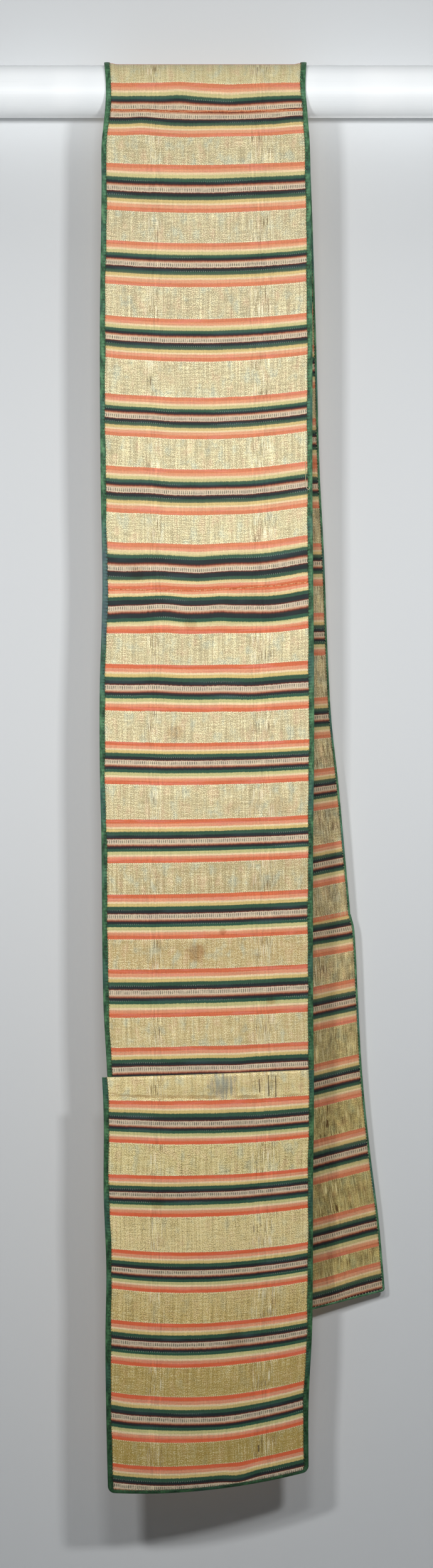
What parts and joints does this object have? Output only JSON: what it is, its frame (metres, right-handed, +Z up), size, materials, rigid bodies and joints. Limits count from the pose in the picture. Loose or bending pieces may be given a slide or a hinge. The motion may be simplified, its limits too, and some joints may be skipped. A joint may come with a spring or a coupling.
{
  "type": "silk sash on a rod",
  "caption": "Long narrow sash of striped silk and gold cloth with a green binding, hung over a plain round white rod, front hang longer than the back.",
  "frame": {"origin": "middle of the rod, on its axis", "axes": "+X along the rod to the viewer's right, +Z up, the front hang towards -Y"},
  "size_m": [0.6, 0.11, 1.6606],
  "materials": {
    "striped_silk": "crosswise stripes of gold thread, coral, cream, green and navy silk",
    "green_silk": "folded silk binding, whip stitched",
    "painted_wood": "satin white paint"
  },
  "bodies": {
    "root": {"rod": "painted_wood", "panel_front_end": "striped_silk", "panel_front_lower": "striped_silk", "panel_front_upper": "striped_silk", "panel_over_rod": "striped_silk", "panel_back_middle": "striped_silk", "panel_back_end": "striped_silk", "binding_left_front_end": "green_silk", "binding_right_front_end": "green_silk", "binding_left_front": "green_silk", "binding_right_front": "green_silk", "binding_left_over_rod": "green_silk", "binding_right_over_rod": "green_silk", "binding_left_back": "green_silk", "binding_right_back": "green_silk", "binding_left_back_end": "green_silk", "binding_right_back_end": "green_silk", "binding_front_hem": "green_silk", "binding_back_hem": "green_silk"}
  },
  "joints": []
}
